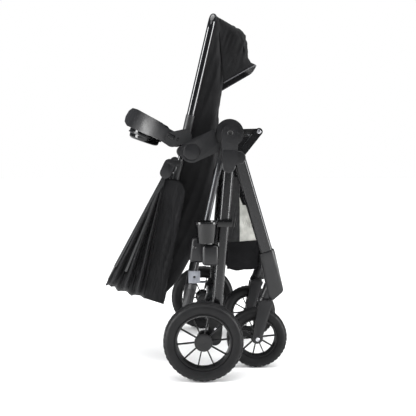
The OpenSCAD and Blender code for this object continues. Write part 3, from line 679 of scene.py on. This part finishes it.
class PUSHCHAIR_OT_frame(bpy.types.Operator):
    """Finish the tubes and give the moulded parts their rounded edges"""

    bl_idname = "pushchair.frame"
    bl_label = "Frame and Mouldings"

    def execute(self, context):
        edge = sizes().mould_edge
        kept = {
            "frame": ["rear_leg", "front_leg", "rear_axle_beam", "front_brace", "handle_bar"],
            "arm": ["handle_arm"],
            "rail": ["canopy_bow"],
            "sleeve": ["rail_sleeves"],
            "screw": ["frame_screws"],
            "button": ["height_button", "buckle_button"],
                    }
        for finish, starts in kept.items():
            for name, node in frame["nodes"].items():
                if any(name.startswith(start) for start in starts):
                    paint(node, finish)
        rounded = {
            "fold_hub": ("plastic", 1.2),
            "seat_mount": ("plastic", 2.2), "seat_release": ("plastic", 0.5),
            "wheel_housing": ("soft_black", 1.4), "front_housing": ("plastic", 1.6),
        }
        for start, (finish, width) in rounded.items():
            for side in SIDES:
                node = f"{start}_{side}"
                of_node(node, f"{node}_shell", finish, edge * width)
        for node, finish, width in (
            ("cup_holder", "gloss", 0.5), ("brake_pedal", "soft_black", 1.0),
            ("lock_brackets", "bright", 0.4), ("fold_trigger", "button", 0.8),
            ("canopy_mounts", "plastic", 1.0), ("harness_buckle", "soft_black", 1.4),
        ):
            of_node(node, f"{node}_shell", finish, edge * width)
        both_sides(self.hub, "hub_housing")
        both_sides(self.link, "drive_link")
        self.forks()
        self.collars()
        self.rail()
        return {"FINISHED"}

    def hub(self, name):
        """Capsule housing with a seam across it, the leg's sleeve and the front leg's eye."""
        seam, outer, inner = 0.682, -0.2765, -0.244
        whole = capsule(FOLD_PIN, (0.095, 0.652), 0.0235, 0.023)
        leg = capsule((0.094, 0.665), (0.0925, 0.634), 0.021, 0.0195)
        lobe = capsule(LEG_PIN, (0.100, 0.657), 0.0195, 0.019)
        shells = [
            moulded(f"{name}_{part}", outline, y_out, inner, edge, "plastic")
            for part, outline, y_out, edge in (
                ("cap", [(x, max(z, seam)) for x, z in whole], outer, 0.0055),
                ("body", [(x, min(z, seam - 0.0006)) for x, z in whole], outer, 0.0055),
                ("sleeve", leg, -0.2735, 0.004), ("eye", lobe, -0.2665, 0.003))]
        # The hole is a dark disc on the cap's face at the fold pin: painted shade standing for the
        # pin's hole.
        hole = turned(name + "_hole", [(0.0001, -0.2768), (0.0062, -0.2768), (0.0072, -0.2774),
                                       (0.0080, -0.2768), (0.0082, -0.274), (0.0001, -0.274)],
                      (FOLD_PIN[0], 0, FOLD_PIN[1]), 40)
        pins = [turned(f"{name}_pin_{i}", [(0.0001, inner - 0.0005), (0.0049, inner - 0.0005),
                                           (0.0049, end), (0.0001, end)], (x, 0, z), 32)
                for i, (x, z, end) in enumerate(((*FOLD_PIN, -0.230), (*LEG_PIN, -0.221)))]
        paint(hole, "soft_black")
        for piece in pins:
            paint(piece, "screw")
        return joined(name, [*shells, hole, *pins])

    def link(self, name):
        """Thin bar from the lever's tip to the hub, with its rivet."""
        bar = moulded(name + "_bar", capsule(LEVER_TIP, LINK_END, 0.0095, 0.0075),
                      -0.2148, -0.2112, 0.0008, "soft_black")
        rivet = turned(name + "_rivet", [
            (0.0001, -0.2268), (0.0036, -0.2268), (0.0058, -0.2265), (0.0062, -0.2262),
            (0.0046, -0.2260), (0.0046, -0.2112), (0.0001, -0.2112)],
            (LEVER_TIP[0], 0, LEVER_TIP[1]), 32)
        return joined(name, [bar, paint(rivet, "screw")])

    def forks(self):
        """Castor forks with softened edges, and a bright bolt end on each face."""
        low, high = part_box("castor_fork_right")
        for side, sign in SIDES.items():
            of_node(f"castor_fork_{side}", f"castor_fork_{side}_shell", "plastic", 0.0022)
            ends = []
            for face, out in ((-sign * low.y, sign), (-sign * high.y, -sign)):
                ends.append(turned(f"castor_bolt_{side}_{len(ends)}", [
                    (0.0001, face + 0.0002 * out), (0.0024, face + 0.0002 * out),
                    (0.0030, face + 0.0010 * out), (0.0050, face + 0.0010 * out),
                    (0.0060, face + 0.0002 * out), (0.0060, face - 0.0020 * out),
                    (0.0001, face - 0.0020 * out)], (FRONT_WHEEL[0], 0, FRONT_WHEEL[2]), 32))
            bolt = paint(joined(f"castor_bolt_{side}", ends), "screw")
            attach(bolt, frame["nodes"][f"castor_fork_{side}"]["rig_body"])

    def collars(self):
        """The handle's lower sleeves as soft-edged collars, each with a dark disc of painted shade
        standing for its hole, and the fold catch.
        """
        low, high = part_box("fold_catch")
        catch = block("fold_catch_shell", tuple((low + high) / 2), tuple(high - low), 0.0115)
        stands_for(paint(catch, "plastic"), "fold_catch")
        half = []
        for side, sign in SIDES.items():
            collar = block(f"collar_{side}", (0.001, sign * 0.205, 0.378), (0.043, 0.028, 0.074),
                           0.0085, math.radians(7))
            # Each collar's hole is a dark disc just proud of its face: painted shade standing for
            # the hole.
            profile = ((0.0001, 0.2192), (0.0034, 0.2192), (0.0042, 0.2198), (0.0050, 0.2192),
                       (0.0052, 0.2170), (0.0001, 0.2170))
            hole_shade = turned(f"collar_recess_{side}", [(r, sign * y) for r, y in profile],
                            (-0.008, 0, 0.388), 32)
            half += [paint(collar, "plastic"), paint(hole_shade, "gloss")]
        stands_for(joined("handle_collars", half), "handle_sleeves")

    def rail(self):
        """Seat rail: one bent hoop at the foot end and a thinner one at the head end."""
        y, split, corner = 0.180, 0.690, 0.047

        def at(z, side):
            return Vector((rail_x(z), side * y, z))

        top = tube("rail_hoop", [at(split, -1), at(RAIL_TOP.z, -1), at(RAIL_TOP.z, 1),
                                 at(split, 1)], 0.012, "rail", corner, 0.66)
        low = tube("rail_low", [at(split - 0.001, -1), at(0.225, -1), at(0.225, 1),
                                at(split - 0.001, 1)], 0.0085, "rail", corner)
        lug = capsule(RECLINE_PIN, (rail_x(RECLINE_PIN[1]), RECLINE_PIN[1]), 0.017, 0.017)
        lugs = [moulded(f"rail_lug_{side}", lug, sign * 0.195, sign * 0.168, 0.003, "plastic")
                for side, sign in SIDES.items()]
        stands_for(joined("seat_rail", [top, low, *lugs]), "seat_frame")


class PUSHCHAIR_OT_wheels(bpy.types.Operator):
    """Model the four wheels: tyres with tread blocks, rims, thin spokes and hub caps"""

    bl_idname = "pushchair.wheels"
    bl_label = "Wheels"

    def tyre(self, name, centre, radius, width, wall):
        half, lug = width / 2, sizes().tread
        out = radius - lug
        profile = [(radius - wall, -half + 0.006), (radius - wall + 0.006, -half + 0.003)]
        turns = 14
        for i in range(turns + 1):
            angle = math.pi * i / turns
            profile.append((
                out - 0.017 + 0.017 * math.sin(angle) ** 0.8,
                -half * math.cos(angle) * (1 - 0.05 * math.sin(angle)),
            ))
        profile += [(radius - wall + 0.006, half - 0.003), (radius - wall, half - 0.006)]
        profile.append(profile[0])
        steps = 120
        piece = turned(name, profile, centre, steps)
        bpy.ops.object.mode_set(mode="EDIT")
        mesh = bmesh.from_edit_mesh(piece.data)
        for face in mesh.faces:
            middle = face.calc_center_median()
            reach = math.hypot(middle.x - centre[0], middle.z - centre[2])
            angle = math.atan2(middle.z - centre[2], middle.x - centre[0]) % math.tau
            step = int(angle / math.tau * steps)
            shoulder = abs(middle.y - centre[1]) > half * 0.35
            face.select = reach > out - 0.0045 and shoulder and step % 3 != 0
        bmesh.update_edit_mesh(piece.data)
        bpy.ops.mesh.extrude_region_shrink_fatten(TRANSFORM_OT_shrink_fatten={"value": lug})
        bpy.ops.object.mode_set(mode="OBJECT")
        return paint(smooth(piece, 28), "tyre")

    def rim(self, name, centre, radius, width, hub, cap, bore):
        half = width / 2
        ring = turned(name + "_ring", [
            (radius, -half + 0.006), (radius - 0.002, -half + 0.003),
            (radius - 0.005, -half + 0.004), (radius - 0.007, -half + 0.009),
            (radius - 0.0045, 0), (radius - 0.007, half - 0.009),
            (radius - 0.005, half - 0.004), (radius - 0.002, half - 0.003), (radius, half - 0.006),
            (radius, -half + 0.006)], centre, 96)
        outer, inner = -half - 0.001, half - 0.004
        core = turned(name + "_core", [
            (bore, outer + 0.006), (cap - 0.010, outer + 0.0045), (cap - 0.0035, outer + 0.0045),
            (cap - 0.0015, outer + 0.0055), (cap, outer + 0.008), (cap, outer + 0.012),
            (hub, outer + 0.015), (hub - 0.002, inner - 0.002), (hub - 0.004, inner),
            (0.0065, inner), (0.0065, outer + 0.010), (bore, outer + 0.010),
            (bore, outer + 0.006)], centre, 64)
        spokes = []
        for i in range(10):
            angle = math.radians(36 * i + 6)
            length = radius - 0.004 - (hub - 0.003)
            middle = (hub - 0.003) + length / 2
            place = (centre[0] + middle * math.cos(angle), centre[1] - 0.002,
                     centre[2] + middle * math.sin(angle))
            size = (length, 0.010, 0.0036)
            spokes.append(block(f"{name}_spoke_{i}", place, size, 0.0011, -angle))
        return paint(joined(name, [ring, core, *spokes]), "soft_black")

    def execute(self, context):
        for end, centre, radius_cut, hub, cap, bore in (
            ("rear", REAR_WHEEL, 0.3, 0.020, 0.027, 0.0002),
            ("front", FRONT_WHEEL, 0.34, 0.017, 0.019, 0.0063),
        ):
            low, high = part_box(f"{end}_tyre_right")
            radius, width = (high.z - low.z) / 2, high.y - low.y
            wall = radius * radius_cut
            tyre = self.tyre(f"{end}_tyre_right_tread", centre, radius, width, wall)
            rim = self.rim(f"{end}_rim_right_spokes", centre, radius - wall, width, hub, cap, bore)
            for side in SIDES:
                if side == "left":
                    tyre = mirrored(tyre, f"{end}_tyre_left_tread")
                    rim = mirrored(rim, f"{end}_rim_left_spokes")
                for piece, node in ((tyre, f"{end}_tyre_{side}"), (rim, f"{end}_rim_{side}")):
                    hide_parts(node)
                    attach(piece, f"{end}_wheel_{side}")
        return {"FINISHED"}


class PUSHCHAIR_OT_canopy(bpy.types.Operator):
    """Model the canopy as cloth sheets that hang between the seat and its three bows"""

    bl_idname = "pushchair.canopy"
    bl_label = "Canopy"

    first, gap = 260.0, 6.2
    root, reach, half, corner = 0.040, 0.404, 0.1985, 0.055

    def panel(self, i):
        start = math.radians(self.first - (i - 1) * self.gap)
        end = math.radians(self.first - i * self.gap)
        fold, pleat = ripple(11 + i, 0.0060), sizes().pleat

        def place(u, v):
            angle = start + (end - start) * v
            bulge = abs(math.sin(math.pi * v))
            creases = math.sin(2 * math.pi * v * 2 + 0.6)
            far = self.reach - 0.010 * bulge
            r, y = along_path(trough_line(self.root, far, self.half, self.corner, 8), u)
            share = max(0.0, (r - self.root) / (self.reach - self.root))
            swell = math.sin(math.pi * min(1, share * 0.75) ** 0.8)
            out = (pleat * bulge + 0.0075 * creases * bulge) * swell
            out += fold(u * 9, v * 2) * bulge * share
            side = max(-1.0, min(1.0, y / (self.half * 0.9)))
            edge = abs(side) ** 3
            y += math.copysign(out * edge, y)
            r += out * 0.5 * (1 - edge)
            return CANOPY_PIN + Vector((r * math.cos(angle), y, r * math.sin(angle)))

        piece = cloth_grid(f"canopy_cloth_{i}", 200, 26, place, finish="canopy")
        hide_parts(f"canopy_panel_{i}")
        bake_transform(piece)

    def back(self):
        """The cloth behind the first bow, over the outside of the seat's head end."""
        top_left, top_right = Vector((-0.097, 0, 0.598)), Vector((-0.030, 0, 0.585))
        low_left, low_right = Vector((-0.163, 0, 0.226)), Vector((-0.104, 0, 0.207))
        half, corner, fold = 0.1950, 0.012, ripple(5, 0.0060)

        def place(u, v):
            upper, lower = top_left.lerp(top_right, v), low_left.lerp(low_right, v)
            round_off = 0.030 * max(0.0, (v - 0.55) / 0.45) ** 2.2
            upper = upper + (lower - upper).normalized() * round_off
            if u < 0.44 or u > 0.56:
                side = -1 if u < 0.5 else 1
                t = u / 0.44 if u < 0.5 else (1 - u) / 0.44
                p = upper.lerp(lower, t)
                out = 0.003 + abs(fold(t * 4, v * 6 + side)) * math.sin(math.pi * t) ** 0.5
                return Vector((p.x, side * (half + out), p.z))
            across = (u - 0.5) / 0.06
            bend = corner * (1 - math.cos(max(0.0, abs(across) - 0.7) / 0.3 * math.pi / 2))
            return Vector((lower.x, across * half, lower.z + bend - 0.004 * (1 - across ** 2)))

        piece = cloth_grid("canopy_back_cloth", 160, 24, place, finish="canopy")
        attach(piece, "seat")

    def execute(self, context):
        for i in (1, 2, 3):
            self.panel(i)
        self.back()
        return {"FINISHED"}


class PUSHCHAIR_OT_seat(bpy.types.Operator):
    """Model the seat's cloth shell, its stuffed pad, the foot cover and the harness"""

    bl_idname = "pushchair.seat"
    bl_label = "Seat"

    def shell_point(self, t):
        return along_path([Vector((x, 0, z)) for x, z in SHELL], t)

    def sling(self):
        fold = ripple(21, 0.0100)
        corner = 0.026

        def place(u, v):
            back = self.shell_point(v)
            rail = Vector((rail_x(back.z) + 0.006, 0, back.z))
            depth = max(0.004, back.x - rail.x)
            bend = min(corner, depth * 0.8)
            half = SLING_Y - 0.001
            x, y = along_path(trough_line(rail.x, back.x, half, bend, 6, 0.004), u)
            hold = min(1.0, 4 * min(u, 1 - u))
            side = abs(y) / half > 0.95
            wave = fold(u * 9, v * 3.5) * hold
            if side:
                y -= math.copysign(abs(wave) * 0.9, y)
            else:
                x -= abs(wave)
            return Vector((x, y, back.z))

        piece = cloth_grid("seat_cloth_shell", 120, 150, place)
        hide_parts("seat_sling")
        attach(piece, "seat")

    def pad(self):
        piece = lifted("seat_pad", "seat_pad_stuffed")
        closed_right_way(piece)
        modified(piece, "REMESH", mode="VOXEL", voxel_size=0.006)
        self.swell(piece)
        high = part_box("seat_pad")[1]
        for vertex in piece.data.vertices:
            co = vertex.co
            seams = min(abs(co.z - z) for z in (0.36, 0.47, 0.58, 0.70, 0.80, 0.90))
            side = min(abs(co.y - y) for y in (-0.085, 0.085))
            groove = 0.003 * math.exp(-(min(seams, side) / 0.006) ** 2)
            face = 1 if abs(co.y) < high.y - 0.012 else 0
            vertex.co.x += groove * face * (1 if vertex.normal.x < 0 else 0)
        modified(piece, "SUBSURF", levels=1, render_levels=1)
        bpy.ops.object.shade_smooth()
        paint(piece, "lining")
        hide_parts("seat_pad")
        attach(piece, "seat")

    def swell(self, piece):
        """Swell the pad with a short cloth simulation, no further than its limit."""
        before = [v.co.copy() for v in piece.data.vertices]
        only(piece)
        cloth = piece.modifiers.new("Cloth", "CLOTH")
        cloth.settings.use_pressure = True
        cloth.settings.uniform_pressure_force = 4
        cloth.settings.effector_weights.gravity = 0
        cloth.settings.quality = 4
        for step in range(1, 21):
            bpy.context.scene.frame_set(step)
        bpy.ops.object.modifier_apply(modifier=cloth.name)
        limit = sizes().pad_swell
        for vertex, start in zip(piece.data.vertices, before):
            move = vertex.co - start
            if vertex.normal.x > 0.2:
                move.x = min(move.x, 0.0)
            if move.length > limit:
                move *= limit / move.length
            vertex.co = start + move
        bpy.context.scene.frame_set(1)

    def foot_cover(self):
        outer = [Vector((x, 0, z)) for x, z in (
            (0.060, 1.084), (0.104, 1.066), (0.134, 1.051), (0.149, 1.036), (0.155, 1.012),
            (0.157, 0.985), (0.158, 0.966), (0.166, 0.952), (0.181, 0.944))]
        inner = [Vector((0.062, 0, 1.080)), Vector((0.080, 0, 0.886))]
        fold = ripple(31, 0.0080)
        half, bend = 0.152, 0.030

        def place(u, v):
            far, near = along_path(outer, v), along_path(inner, v)
            reach = far - near
            depth = max(reach.length, 0.006)
            curve = min(bend, depth * 0.7)
            d, y = along_path(trough_line(0, depth, half, curve, 6, 0.006), u)
            hold = math.sin(math.pi * min(1, max(0, v))) * min(1.0, 5 * min(u, 1 - u))
            wave = fold(u * 10, v * 4) * hold
            if abs(y) > half - 0.004:
                y -= math.copysign(abs(wave) * 1.4, y)
            else:
                d -= abs(wave)
            p = near + reach.normalized() * d
            sag = 0.005 * math.sin(math.pi * (0.5 + y / (2 * half))) * v
            return Vector((p.x, y, p.z - sag))

        piece = cloth_grid("foot_cover", 110, 50, place)
        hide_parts("foot_pocket")
        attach(piece, "seat")

        def edge(u, v):
            p = place(u, 1.0)
            away = Vector((0.020, 0, -0.030)).normalized()
            return p + away * (0.0030 * v) + Vector((0, math.copysign(0.001, p.y), 0))

        trim = cloth_grid("foot_cover_trim", 110, 2, edge, 0.0026, "trim")
        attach(trim, "seat")

    def harness(self):
        straps = []
        for name, y, first, last in (("right", -0.058, 6.4, 9.2), ("left", 0.058, 6.4, 9.2),
                                     ("crotch", 0.0, 3.6, 5.2)):
            def place(u, v, y=y, first=first, last=last):
                t = (first + (last - first) * v) / (len(SHELL) - 1)
                p = self.shell_point(t)
                lift = 0.024 + 0.004 * math.sin(math.pi * v)
                return Vector((p.x - lift, y + (u - 0.5) * 0.024, p.z))

            straps.append(cloth_grid(f"harness_{name}", 6, 50, place, 0.0022, "web"))
        piece = joined("harness_straps", straps)
        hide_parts("harness")
        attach(piece, "seat")

    def execute(self, context):
        self.sling()
        self.pad()
        self.foot_cover()
        self.harness()
        return {"FINISHED"}


class PUSHCHAIR_OT_basket(bpy.types.Operator):
    """Model the basket: a dark cloth band and floor, black net and a pale net window"""

    bl_idname = "pushchair.basket"
    bl_label = "Basket"

    def side(self, name, corners, half, finish, seed):
        """A net panel between four corners, given from the top left clockwise."""
        a, b, c, d = (Vector((x, 0, z)) for x, z in corners)
        fold = ripple(seed, 0.003)
        for side_name, sign in SIDES.items():
            def place(u, v, sign=sign):
                p = a.lerp(b, u).lerp(d.lerp(c, u), v)
                hold = math.sin(math.pi * u) * math.sin(math.pi * v)
                return Vector((p.x, sign * (half - 0.004 - abs(fold(u * 5, v * 5)) * hold), p.z))

            piece = cloth_grid(f"{name}_{side_name}", 30, 60, place, 0.001, finish)
            self.hang(piece)

    def hang(self, piece):
        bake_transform(piece)

    def execute(self, context):
        half = 0.171
        outline = [Vector((x, 0, z)) for x, z in (
            (0.090, 0.405), (0.088, 0.326), (0.100, 0.313), (0.140, 0.309), (0.180, 0.315),
            (0.192, 0.332), (0.193, 0.404))]
        fold = ripple(41, 0.003)

        def trough(u, v):
            p = along_path(outline, u)
            y = (v - 0.5) * 2 * half
            sag = 0.006 * math.sin(math.pi * u) * math.sin(math.pi * v)
            return Vector((p.x, y, p.z - sag + fold(u * 5, v * 6) * math.sin(math.pi * u)))

        floor = cloth_grid("basket_trough", 60, 60, trough, finish="band")
        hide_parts("storage_basket")
        self.hang(floor)
        self.side("basket_band", [(0.090, 0.396), (0.193, 0.404), (0.188, 0.318), (0.092, 0.313)],
                  half + 0.0045, "band", 43)
        self.side("basket_net", [(0.086, 0.600), (0.130, 0.598), (0.131, 0.398), (0.090, 0.396)],
                  half + 0.004, "net", 44)
        self.side("basket_window", [(0.131, 0.512), (0.150, 0.512), (0.191, 0.404), (0.128, 0.396)],
                  half + 0.003, "pale_net", 45)
        return {"FINISHED"}


class PUSHCHAIR_OT_tray(bpy.types.Operator):
    """Give the tray its rounded body, button, slot and the dish under its front"""

    bl_idname = "pushchair.tray"
    bl_label = "Tray"

    def execute(self, context):
        of_node("tray", "tray_body_shell", "plastic", sizes().mould_edge * 1.6)
        tray = frame["nodes"]["tray"]["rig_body"]
        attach(self.pot(), tray)
        for side, sign in SIDES.items():
            parts = []
            for name, x, z, width, height, out, finish in (
                ("rim", -0.079, 0.7220, 0.023, 0.0145, 0.1958, "gloss"),
                ("key", -0.079, 0.7220, 0.017, 0.0085, 0.1964, "plastic"),
                # slot: a thin dark strip on the tray's side, painted shade standing for the slot's
                # opening
                ("slot", -0.0595, 0.7130, 0.0035, 0.0125, 0.1958, "gloss"),
            ):
                parts.append(paint(block(f"tray_{name}_{side}", (x, sign * out, z),
                                         (width, 0.0016, height), 0.0006, TRAY_TILT), finish))
            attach(joined(f"tray_key_{side}", parts), "seat")
        return {"FINISHED"}

    def pot(self):
        """Glossy round pot that fills the space beside the tray's floor."""
        radius, top, bottom = 0.054, -0.021, -0.054
        profile = [(0.0001, top), (radius - 0.003, top), (radius, top - 0.003),
                   (radius, top - 0.010),
                   (radius - 0.002, top - 0.012), (radius - 0.004, top - 0.020)]
        for i in range(1, 7):
            a = math.pi / 2 * i / 6
            profile.append((radius - 0.016 + 0.012 * math.cos(a),
                            bottom + 0.010 - 0.010 * math.sin(a)))
        profile.append((0.0001, bottom))
        pot = turned("tray_pot", profile, (0, 0, 0), 72)
        only(pot)
        pot.rotation_euler = (math.pi / 2, 0, 0)
        placed(pot)
        pot.location = (-0.097, 0, 0)
        pot.rotation_euler = (0, math.radians(-8), 0)
        placed(pot)
        pot.rotation_euler = (0, TRAY_TILT, 0)
        pot.location = TRAY_PIN
        return paint(placed(pot), "gloss")


class PUSHCHAIR_OT_grip(bpy.types.Operator):
    """Round the handle's padded grip"""

    bl_idname = "pushchair.grip"
    bl_label = "Grip"

    def execute(self, context):
        of_node("handle_grip", "handle_grip_foam", "foam", sizes().mould_edge)
        return {"FINISHED"}


class PUSHCHAIR_PT_panel(bpy.types.Panel):
    bl_label = "Pushchair"
    bl_space_type = "VIEW_3D"
    bl_region_type = "UI"
    bl_category = "Pushchair"

    def draw(self, context):
        for group in (sizes(), colours()):
            for name in group.__annotations__:
                self.layout.prop(group, name)
        for operator in OPERATORS:
            self.layout.operator(operator.bl_idname)


OPERATORS = (
    PUSHCHAIR_OT_stage, PUSHCHAIR_OT_frame, PUSHCHAIR_OT_wheels, PUSHCHAIR_OT_canopy,
    PUSHCHAIR_OT_seat, PUSHCHAIR_OT_basket, PUSHCHAIR_OT_tray, PUSHCHAIR_OT_grip,
)
CLASSES = (PushchairSizes, PushchairColours, *OPERATORS, PUSHCHAIR_PT_panel)


def register():
    for cls in CLASSES:
        bpy.utils.register_class(cls)
    bpy.types.Scene.pushchair_sizes = bpy.props.PointerProperty(type=PushchairSizes)
    bpy.types.Scene.pushchair_colours = bpy.props.PointerProperty(type=PushchairColours)


def unregister():
    del bpy.types.Scene.pushchair_colours
    del bpy.types.Scene.pushchair_sizes
    for cls in reversed(CLASSES):
        bpy.utils.unregister_class(cls)


def main():
    register()
    make_finishes()
    bpy.ops.object.select_all(action="DESELECT")
    bpy.ops.pushchair.stage()
    bpy.ops.pushchair.frame()
    bpy.ops.pushchair.wheels()
    bpy.ops.pushchair.canopy()
    bpy.ops.pushchair.seat()
    bpy.ops.pushchair.basket()
    bpy.ops.pushchair.tray()
    bpy.ops.pushchair.grip()


if __name__ == "__main__":
    main()
